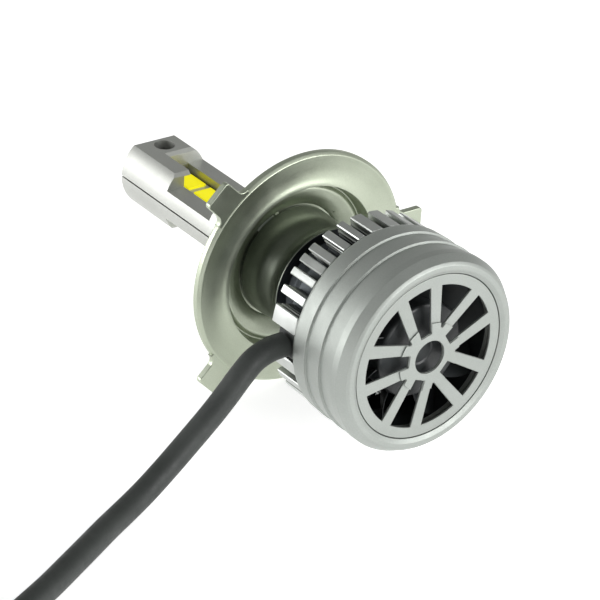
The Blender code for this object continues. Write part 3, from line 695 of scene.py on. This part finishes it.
# ---------------------------------------------------------------- heatsink
def fin_side(centre, half, side):
    """One serrated side of a fin, from its root to its tip."""
    points = []
    reach = FIN_RADIUS - 0.55 - FIN_ROOT
    for rib in range(SERRATIONS):
        low = FIN_ROOT + 0.15 + reach * rib / SERRATIONS
        width = reach / SERRATIONS
        for share, depth in ((0.0, 1.0), (0.45, 1.0), (0.55, 0.0), (0.92, 0.0)):
            radius = low + width * share
            dent = math.degrees(depth * SERRATION_DEPTH / radius)
            points.append(polar(radius, centre + side * (half - dent)))
    return points


def fin_ring(edge):
    """The outline of every fin; edge is how far the fins' tips and sides are drawn in."""
    shrink = math.degrees(edge / FIN_RADIUS)
    fins = list(UNEVEN_FINS_DEG)
    last = sum(UNEVEN_FINS_DEG[-1]) / 2
    for index in range(1, EVEN_FIN_COUNT + 1):
        centre = last + index * EVEN_FIN_PITCH_DEG
        fins.append((centre - EVEN_FIN_WIDTH_DEG / 2, centre + EVEN_FIN_WIDTH_DEG / 2))
    outline = []
    for low, high in fins:
        middle = (low + high) / 2
        half = (high - low) / 2 - shrink
        tip = FIN_RADIUS - edge
        outline.append(polar(FIN_ROOT, middle - half - 0.5))
        outline += fin_side(middle, half, -1)
        lean = math.degrees(FIN_CORNER / tip)
        outline.append(polar(tip - FIN_CORNER, middle - half))
        steps = 6 if high - low > 8 else 2
        outline += arc(tip, middle - half + lean, middle + half - lean, steps)
        outline.append(polar(tip - FIN_CORNER, middle + half))
        outline += reversed(fin_side(middle, half, 1))
        outline.append(polar(FIN_ROOT, middle + half + 0.5))
    return outline


def build_heatsink():
    """The turned body from spigot to driver bay, with its fins, register ring, ears and notch."""
    # once round the profile: spigot, shoulder, waist, flare disc and cone, driver bay
    spigot = rounded([(SPIGOT_RADIUS, 1.9, 0), (SPIGOT_RADIUS, SPIGOT_FRONT_Y, 0.35),
                      (NECK_BORE, SPIGOT_FRONT_Y, 0.3), (NECK_BORE, -6.0, 0)], 0.3)[1:-1]
    waist = smooth_run([(10.2, 1.7), (10.15, 0.0), (9.93, -2.0), (9.5, -3.9), (9.22, -5.3),
                        (9.3, -6.4), (9.75, -7.5), (10.3, -8.12)], 6)
    disc = rounded([(10.3, -8.12, 0), (10.42, -8.3, 0.08), (10.36, -8.5, 0.08), (8.6, -8.9, 0.4),
                    (8.1, -9.8, 0.6), (8.1, -12.2, 0.9), (9.2, -13.5, 0.7),
                    (FIN_ROOT + 0.1, FIN_FRONT_Y + 0.25, 0.5), (FIN_ROOT + 0.1, FIN_REAR_Y - 0.1, 0)],
                   0.3)[1:]
    bay = [(BAY_RADIUS, FIN_REAR_Y - 0.1), (BAY_RADIUS, BAY_FLOOR_Y), (NECK_BORE + 1.0, BAY_FLOOR_Y),
           (NECK_BORE, BAY_FLOOR_Y + 1.0)]
    shoulder = [(SPIGOT_RADIUS, 1.9), (10.2, 1.9)]
    profile = list(reversed(spigot)) + shoulder + waist + disc + bay
    heatsink = add_object("heatsink", turned(profile, 144))
    fins = loft([(FIN_FRONT_Y, fin_ring(FIN_EDGE)), (FIN_FRONT_Y - FIN_EDGE, fin_ring(0.0)),
                 (FIN_REAR_Y + FIN_EDGE, fin_ring(0.0)), (FIN_REAR_Y, fin_ring(FIN_EDGE))])
    ring = add_object("fin_ring", fins)
    front, rear = FIN_FRONT_Y + OUTSIDE, FIN_REAR_Y - OUTSIDE
    cut(ring, turned([(0.0, front), (FIN_CORE_RADIUS, front), (FIN_CORE_RADIUS, rear), (0.0, rear)], 96))
    teeth = bmesh.new()
    teeth.from_mesh(ring.data)
    bpy.data.objects.remove(ring, do_unlink=True)
    join(heatsink, teeth)
    join(heatsink, turned(rectangle(REGISTER_RADII, REGISTER_Y)))
    for angle in EAR_ANGLES:
        start, end = angle - EAR_HALF_DEG, angle + EAR_HALF_DEG
        outline = arc(EAR_RADIUS, start, end, 8)
        outline += [polar(SPIGOT_RADIUS - 1.0, end), polar(SPIGOT_RADIUS - 1.0, start)]
        join(heatsink, soft_prism(outline, HUB_FRONT_Y + GAP, HUB_FRONT_Y + GAP + EAR_LENGTH, 0.12))
    notch = rounded(rectangle((GROMMET_LOW.y - OUTSIDE, GROMMET_HIGH.y + GAP),
                              (GROMMET_LOW.z - GAP, GROMMET_HIGH.z + GAP)), 0.6)
    cut(heatsink, soft_prism(notch, *NOTCH_X, axis="X"))
    dress(heatsink, NECK_METAL, "heatsink_body")
    heatsink.data.materials.append(FIN_METAL)
    heatsink.data.materials.append(CORE_PAINTED_SHADE)
    # faces behind the flare disc get the painted shade; the fins get their own finish
    for face in heatsink.data.polygons:
        centre = face.center / MM
        radius = math.hypot(centre.x, centre.z)
        if centre.y < FIN_FRONT_Y + 0.1 and radius > FIN_ROOT + 0.12:
            face.material_index = 1
        elif centre.y < FLARE_EDGE_Y:
            face.material_index = 2


# ---------------------------------------------------------------- rear cover, grille and star
def build_cover():
    """A round cap in three shallow steps, with a ledge inside for the grille."""
    outline = [
        (COVER_BORE, -25.0, 0), (COVER_BORE, COVER_FRONT_Y, 0), (17.55, COVER_FRONT_Y, 0.2),
        (17.7, COVER_FRONT_Y - 0.5, 0.3), (17.82, -26.25, 0.08), (17.4, -26.36, 0.08),
        (17.58, -27.6, 1.0), (17.86, -30.15, 0.08), (17.44, -30.26, 0.08), (17.62, -31.5, 1.0),
        (COVER_RADIUS, -33.6, 1.5), (COVER_RADIUS - 0.02, -34.95, 0.3), (17.0, -36.5, 0.35),
        (16.5, COVER_FACE_Y, 0.3), (15.7, COVER_FACE_Y, 0.15),
        (COVER_EYE_RADIUS, COVER_FACE_Y + 0.4, 0.1), (COVER_EYE_RADIUS, LEDGE_Y[0], 0),
        (LEDGE_RADIUS, LEDGE_Y[0], 0), (LEDGE_RADIUS, LEDGE_Y[1], 0), (COVER_BORE, LEDGE_Y[1], 0),
    ]
    cover = add_object("fan_cover", turned(rounded(outline, 0.2, 12), 180))
    dress(cover, COVER_PAINT, "rear_cover", sharp_deg=40.0)


def window_outlines():
    """Five narrow windows inside the spoke pairs and five wide ones between the pairs."""
    outlines = []
    for index in range(5):
        narrow = WINDOW_PHASE_DEG + 72.0 * index
        half = NARROW_WINDOW_HALF_DEG
        inner = [polar(NARROW_INNER_RADIUS, narrow + side * NARROW_INNER_HALF_DEG) for side in (1, -1)]
        outlines.append(arc(WINDOW_RADIUS, narrow - half, narrow + half, 14) + inner)
        wide = narrow + 36.0
        half = WIDE_WINDOW_HALF_DEG
        inner = [polar(WIDE_INNER_RADIUS, wide + side * WIDE_INNER_HALF_DEG) for side in (1, -1)]
        outlines.append(arc(WINDOW_RADIUS, wide - half, wide + half, 18) + inner)
    return outlines


def build_disc(name, node, radius, rear, front, sheet):
    """A pressed disc: a thin sheet with the wheel's windows in it, and a deeper rim if it has one."""
    hole = HUB_HOLE_RADIUS
    back = [(radius, rear, DISC_EDGE), (hole, rear, DISC_EDGE)]
    if front - rear > sheet + 0.01:
        inner_rim = radius - DISC_RIM
        profile = [(hole, rear + sheet, 0), (inner_rim, rear + sheet, 0), (inner_rim, front, 0),
                   (radius, front, 0)] + back
    else:
        profile = [(hole, front, 0), (radius, front, 0)] + back
    disc = add_object(name, turned(rounded(profile, DISC_EDGE, 20), 144))
    cutters = []
    for outline in window_outlines():
        wide = inset(outline, -WINDOW_BEVEL)
        cutters.append(loft([(rear - OUTSIDE, wide), (rear, wide), (rear + WINDOW_BEVEL, outline),
                             (front + OUTSIDE, outline)]))
    cut(disc, merged(cutters))
    dress(disc, COVER_PAINT, node, sharp_deg=30.0)


# ---------------------------------------------------------------- fan
def blade(angle):
    """One pitched and swept blade with a round edge."""
    stations = 9
    hub_radius, tip_radius = BLADE_RADII
    hub_width, tip_width = BLADE_WIDTH_DEG
    rings = []
    shape = bmesh.new()
    for station in range(stations + 1):
        share = station / stations
        radius = hub_radius + (tip_radius - hub_radius) * share
        sweep = angle + BLADE_SWEEP_DEG * share ** 1.3
        half_turn = (hub_width + (tip_width - hub_width) * share) / 2
        ring = []
        for along, depth in BLADE_SECTION:
            x, z = polar(radius, sweep + along * half_turn)
            ring.append(shape.verts.new((x * MM, depth * MM, z * MM)))
        rings.append(ring)
    for inner, outer in zip(rings, rings[1:]):
        for index in range(len(inner)):
            following = (index + 1) % len(inner)
            shape.faces.new((inner[index], inner[following], outer[following], outer[index]))
    shape.faces.new(rings[0])
    shape.faces.new(rings[-1])
    bmesh.ops.recalc_face_normals(shape, faces=shape.faces)
    return shape


def build_fan():
    """The impeller, a cup with blades, and the housing: a plate, a bearing tube, a ring and struts."""
    cup = rounded([(0.0, -33.2, 0), (7.7, -33.2, 0.3), (7.7, -28.4, 0), (8.5, -28.4, 0),
                   (8.5, -34.1, 0.7), (2.6, -34.1, 0.2), (2.3, -33.9, 0.2), (0.0, -33.9, 0)], 0.2)
    impeller = add_object("impeller", turned(cup, 96))
    for index in range(BLADE_COUNT):
        join(impeller, blade(360.0 * index / BLADE_COUNT))
    dress(impeller, FAN_PLASTIC, "fan_impeller", "fan")

    plate_front, plate_rear = FAN_PLATE_Y
    base = rounded(rectangle((2.2, 7.9), FAN_PLATE_Y), 0.15)
    housing = add_object("fan_housing", turned(base, 96))
    tube = rounded(rectangle(FAN_TUBE_RADII, (plate_front, FAN_TUBE_END_Y)), 0.1)
    join(housing, turned(tube, 48))
    ring = rounded(rectangle(FAN_RING_RADII, (plate_front, FAN_RING_END_Y)), 0.15)
    join(housing, turned(ring, 144))
    for index in range(STRUT_COUNT):
        outline = rectangle(STRUT_X, (-STRUT_HALF_WIDTH, STRUT_HALF_WIDTH))
        strut = soft_prism(outline, plate_rear, plate_front, 0.15)
        strut.transform(Matrix.Rotation(math.radians(45 + 360 / STRUT_COUNT * index), 4, "Y"))
        join(housing, strut)
    dress(housing, BLACK_PLASTIC, "fan_frame")


# ---------------------------------------------------------------- light column
def half_round(radius, far_radius, top, steps=20):
    """The +Z half of a bar: a round near side, a flat top and a round far side."""
    base = SPLIT_HALF_GAP
    near_start = 180 - math.degrees(math.asin(base / radius))
    near_end = 180 - math.degrees(math.asin(top / radius))
    far_start = math.degrees(math.asin(top / far_radius))
    far_end = math.degrees(math.asin(base / far_radius))
    return arc(radius, near_start, near_end, steps) + arc(far_radius, far_start, far_end, steps)


def on_side(outline, side):
    """The outline as it is for the upper half, or mirrored for the lower one."""
    return [(x, z * side) for x, z in outline]


def build_column_shell(name, node, side):
    """One half of the column: a bar with a window milled over the LEDs and a prong beside it."""
    bar = on_side(half_round(NEAR_RADIUS, FAR_RADIUS, FLAT_Z), side)
    rings = [(SPIGOT_FRONT_Y + GAP, bar)]
    for step in range(4):
        angle = math.pi / 2 * step / 3
        short_of_tip = TIP_EDGE * (1 - math.sin(angle))
        rings.append((COLUMN_TIP_Y - short_of_tip, inset(bar, TIP_EDGE * (1 - math.cos(angle)))))
    shell = add_object(name, loft(rings))
    socket = half_round(SOCKET_RADIUS, SOCKET_RADIUS, SOCKET_TOP_Z)
    join(shell, soft_prism(on_side(socket, side), SOCKET_Y, SPIGOT_FRONT_Y + 1.0))
    outer = NEAR_RADIUS + OUTSIDE
    above = FLAT_Z + OUTSIDE
    for low_x, high_x, low_y, high_y in ((-outer, outer, WINDOW_Y, PRONG_Y),
                                         (PRONG_INNER_X, outer, PRONG_Y - 1.0, BLOCK_Y)):
        slope = [(low_y, SHELF_Z), (high_y - END_BEVEL, SHELF_Z), (high_y - END_BEVEL, FLAT_Z - END_BEVEL),
                 (high_y + above - FLAT_Z, above), (low_y, above)]
        cut(shell, soft_prism(on_side(slope, side), low_x, high_x, axis="X"))
    channel = rectangle(CHANNEL_X, (0.0, CHANNEL_TOP_Z))
    cut(shell, soft_prism(on_side(channel, side), WINDOW_Y, BLOCK_Y - END_BEVEL - 0.05))
    half_width = CORE_HIGH.x + GAP
    core = rectangle((-half_width, half_width), (-0.5, CORE_HIGH.z + 0.1))
    cut(shell, soft_prism(on_side(core, side), SOCKET_Y - OUTSIDE, CORE_HIGH.y + GAP))
    cut(shell, upright(TIP_RECESS_RADIUS, RECESS_FLOOR_Z * side, above * side))
    cut(shell, upright(TIP_HOLE_RADIUS, -OUTSIDE * side, (RECESS_FLOOR_Z + OUTSIDE) * side))
    bevel = shell.modifiers.new("soft_edges", "BEVEL")
    bevel.width = 0.09 * MM
    bevel.segments = 2
    bevel.limit_method = "ANGLE"
    bevel.angle_limit = math.radians(32)
    dress(shell, COLUMN_METAL, node, sharp_deg=40.0)


def plate(name, node, low, high, corner, edge, material):
    """A flat plate in XY with round corners, such as a board or a chip."""
    outline = rounded(rectangle((low.x, high.x), (low.y, high.y)), corner)
    piece = add_object(name, soft_prism(outline, low.z, high.z, edge, axis="Z"))
    return dress(piece, material, node)


def build_leds():
    """The copper strip, and on each of its faces a board with two chips."""
    outline = rounded(rectangle((CORE_LOW.x, CORE_HIGH.x), (CORE_LOW.y, CORE_HIGH.y)), 0.5)
    core = add_object("copper_core", soft_prism(outline, CORE_LOW.z, CORE_HIGH.z, 0.12, axis="Z"))
    cut(core, upright(TIP_HOLE_RADIUS, CORE_LOW.z - OUTSIDE, CORE_HIGH.z + OUTSIDE))
    dress(core, COPPER, "led_core")
    for label in ("upper", "lower"):
        low, high = corners(f"led_board_{label}")
        plate(f"light_board_{label}", f"led_board_{label}", low, high, 0.3, 0.05, BOARD_WHITE)
        for end in ("rear", "front"):
            node = f"led_chip_{label}_{end}"
            low, high = corners(node)
            plate(f"phosphor_{label}_{end}", node, low, high, 0.12, 0.06, PHOSPHOR)


def build_tip_fastener():
    """A socket-head screw from above and a hexagon nut below, through the column's tip."""
    head_low = SCREW_HIGH.z - SCREW_HEAD_HEIGHT
    screw = add_object("screw", upright(SCREW_SHANK_RADIUS, SCREW_LOW.z, head_low + 0.2, sides=36))
    head = arc(SCREW_HEAD_RADIUS, 0, 350, 35, (0.0, TIP_SCREW_Y))
    join(screw, soft_prism(head, head_low, SCREW_HIGH.z, 0.3, axis="Z", steps=4))
    socket_low = SCREW_HIGH.z - SCREW_SOCKET_DEPTH
    cut(screw, upright(SCREW_SOCKET_RADIUS, socket_low, SCREW_HIGH.z + OUTSIDE, sides=6))
    dress(screw, DARK_STEEL, "tip_screw")
    hexagon = rounded(arc(NUT_RADIUS, 0, 300, 5, (0.0, TIP_SCREW_Y)), 0.4)
    nut = add_object("nut", soft_prism(hexagon, NUT_HIGH.z, NUT_LOW.z, 0.18, axis="Z"))
    cut(nut, upright(NUT_BORE, NUT_HIGH.z + OUTSIDE, NUT_LOW.z - OUTSIDE))
    dress(nut, DARK_STEEL, "tip_nut")


# ---------------------------------------------------------------- cable, grommet and plug
def build_grommet():
    """The rubber block that the cable leaves through."""
    outline = rounded(rectangle((GROMMET_LOW.y, GROMMET_HIGH.y), (GROMMET_LOW.z, GROMMET_HIGH.z)), 0.8)
    grommet = add_object("grommet", soft_prism(outline, GROMMET_HIGH.x, GROMMET_LOW.x, 0.25, axis="X"))
    dress(grommet, BLACK_RUBBER, "cable_grommet")


def build_cable():
    """The cable as a round curve. Gives the cable, its exit point and its length in metres."""
    curve = bpy.data.curves.new("cable", "CURVE")
    curve.dimensions = "3D"
    curve.bevel_depth = CABLE_DIAMETER / 2 * MM
    curve.bevel_resolution = 12
    curve.use_fill_caps = True
    spline = curve.splines.new("POLY")
    points = catmull(CABLE_ROUTE, 10)
    spline.points.add(len(points) - 1)
    for target, point in zip(spline.points, points):
        target.co = (*(point * MM), 1.0)
    spline.use_smooth = True
    curve.materials.append(BLACK_RUBBER)
    cable = bpy.data.objects.new("cable", curve)
    bpy.context.collection.objects.link(cable)
    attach(cable, "bulb")
    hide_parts("power_cable")
    length = sum((b - a).length for a, b in zip(points, points[1:])) * MM
    return cable, Vector(CABLE_ROUTE[0]) * MM, length


def build_plug():
    """A moulded three-blade plug: ribbed grips, a rim round the blades and a stepped neck."""
    x = (PLUG_LOW.x + PLUG_HIGH.x) / 2
    z = (PLUG_LOW.z + PLUG_HIGH.z) / 2
    rear = PLUG_LOW.y + PLUG_NECK
    body = rectangle((PLUG_LOW.x + 0.5, PLUG_HIGH.x - 0.5), (PLUG_LOW.z, PLUG_HIGH.z))
    plug = add_object("plug", soft_prism(rounded(body, PLUG_CORNER), rear, PLUG_HIGH.y, 0.9))
    for index in range(GRIP_COUNT):
        start = rear + GRIP_START + GRIP_PITCH * index
        for low_x in (PLUG_LOW.x, PLUG_HIGH.x - GRIP_WIDTH):
            rib = rectangle((low_x, low_x + GRIP_WIDTH), (z - GRIP_HALF_HEIGHT, z + GRIP_HALF_HEIGHT))
            join(plug, soft_prism(rounded(rib, 0.5), start, start + 1.0, 0.3))
    for index in range(NECK_STEPS):
        shrink = 0.35 * (NECK_STEPS - 1 - index)
        start = PLUG_LOW.y + NECK_PITCH * index
        half_width = NECK_HALF_WIDTH - shrink
        ring = rounded(rectangle((x - half_width, x + half_width),
                                 (PLUG_LOW.z + 2.5 + shrink, PLUG_HIGH.z - 2.5 - shrink)), 2.5)
        join(plug, soft_prism(inset(ring, 0.6), start, start + 1.3))
        join(plug, soft_prism(ring, start, start + 0.75, 0.25))
    beside, over = POCKET_WALL
    pocket = rounded(rectangle((PLUG_LOW.x + beside, PLUG_HIGH.x - beside),
                               (PLUG_LOW.z + over, PLUG_HIGH.z - over)), 1.4)
    cut(plug, soft_prism(pocket, PLUG_HIGH.y - POCKET_DEPTH, PLUG_HIGH.y + OUTSIDE))
    dress(plug, BLACK_PLASTIC, "plug_housing")
    pieces = [plug]
    for label in ("left", "right", "cross"):
        low, high = corners(f"plug_blade_{label}")
        outline = rounded(rectangle((low.x, high.x), (low.z, high.z)), 0.12)
        thin = inset(outline, 0.22)
        piece = add_object(f"contact_{label}", loft([(low.y - 0.3, outline), (high.y - 0.9, outline),
                                                     (high.y, thin)]))
        pieces.append(dress(piece, STEEL, f"plug_blade_{label}"))
    return pieces


def finish_hidden_nodes():
    """CAD nodes whose shape stays get the finish of their slot."""
    kept = {
        "driver_board": BOARD_GREEN, "fan_circuit_board": BOARD_GREEN,
        "driver_inductor": FERRITE, "driver_capacitor": BLACK_PLASTIC, "driver_chip": BLACK_PLASTIC,
        "fan_bearing": COPPER, "fan_stator": FERRITE, "fan_magnet_ring": FERRITE, "fan_shaft": STEEL,
    }
    for node, material in kept.items():
        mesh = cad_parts[node].data
        mesh.materials.clear()
        mesh.materials.append(material)


# ---------------------------------------------------------------- studio
def add_floor():
    """A plain pale floor at the height of the object's lowest point."""
    shape = bmesh.new()
    bmesh.ops.create_grid(shape, x_segments=1, y_segments=1, size=3.0,
                          matrix=Matrix.Translation((0, 0, cad_low.z)))
    floor = add_object("floor", shape)
    material = bpy.data.materials.new("floor")
    material.use_nodes = True
    shader = material.node_tree.nodes["Principled BSDF"]
    shader.inputs["Base Color"].default_value = (0.80, 0.80, 0.80, 1.0)
    shader.inputs["Roughness"].default_value = 0.9
    shader.inputs["Specular IOR Level"].default_value = 0.1
    shader.inputs["Emission Color"].default_value = (1.0, 1.0, 1.0, 1.0)
    shader.inputs["Emission Strength"].default_value = 0.72
    floor.data.materials.append(material)


def add_world():
    """A pale backdrop whose light fades from the horizon to a grey ceiling."""
    world = bpy.data.worlds.new("studio")
    world.use_nodes = True
    nodes = world.node_tree.nodes
    links = world.node_tree.links
    background = nodes["Background"]
    direction = nodes.new("ShaderNodeTexCoord").outputs["Generated"]
    split = nodes.new("ShaderNodeSeparateXYZ")
    links.new(direction, split.inputs["Vector"])
    ramp = nodes.new("ShaderNodeValToRGB")
    ramp.color_ramp.elements[0].position = 0.0
    ramp.color_ramp.elements[0].color = (0.62, 0.62, 0.61, 1.0)
    ramp.color_ramp.elements[1].position = 0.55
    ramp.color_ramp.elements[1].color = (0.32, 0.325, 0.32, 1.0)
    links.new(split.outputs["Z"], ramp.inputs["Fac"])
    links.new(ramp.outputs["Color"], background.inputs["Color"])
    pale = nodes.new("ShaderNodeBackground")
    pale.inputs["Color"].default_value = (0.93, 0.93, 0.93, 1.0)
    seen = nodes.new("ShaderNodeLightPath").outputs["Is Camera Ray"]
    mix = nodes.new("ShaderNodeMixShader")
    links.new(seen, mix.inputs["Fac"])
    links.new(background.outputs["Background"], mix.inputs[1])
    links.new(pale.outputs["Background"], mix.inputs[2])
    links.new(mix.outputs["Shader"], nodes["World Output"].inputs["Surface"])
    bpy.context.scene.world = world


def add_softbox(name, at, aim, size, power):
    """A rectangular lamp at a place, turned to face aim; metres and watts."""
    data = bpy.data.lights.new(name, "AREA")
    data.shape = "RECTANGLE"
    data.size, data.size_y = size
    data.energy = power
    light = bpy.data.objects.new(name, data)
    place = Vector(at)
    turn = (Vector(aim) - place).to_track_quat("-Z", "Y").to_matrix().to_4x4()
    light.matrix_world = Matrix.Translation(place) @ turn
    bpy.context.collection.objects.link(light)


def add_studio():
    add_floor()
    add_world()
    add_softbox("key", (-0.68, 0.38, 0.12), (0.0, -0.01, 0.0), (0.7, 0.45), 4.2)
    add_softbox("rear_fill", (0.35, -0.85, 0.30), (0.0, -0.02, 0.0), (0.7, 0.5), 6.0)
    bpy.context.scene.view_settings.view_transform = "Standard"


add_camera()
cable, exit_point, cable_length = build_cable()
plug_pieces = build_plug()
build_grommet()
build_collar()
build_seal()
build_heatsink()
build_cover()
build_disc("grille", "wheel_grille", GRILLE_HIGH.x, GRILLE_LOW.y, GRILLE_HIGH.y, GRILLE_SHEET)
build_disc("star", "hub_star", STAR_HIGH.x, STAR_LOW.y + STAR_RECESS, STAR_HIGH.y, STAR_SHEET)
build_fan()
build_column_shell("column_upper", "column_shell_upper", 1)
build_column_shell("column_lower", "column_shell_lower", -1)
build_leds()
build_tip_fastener()
finish_hidden_nodes()
add_studio()
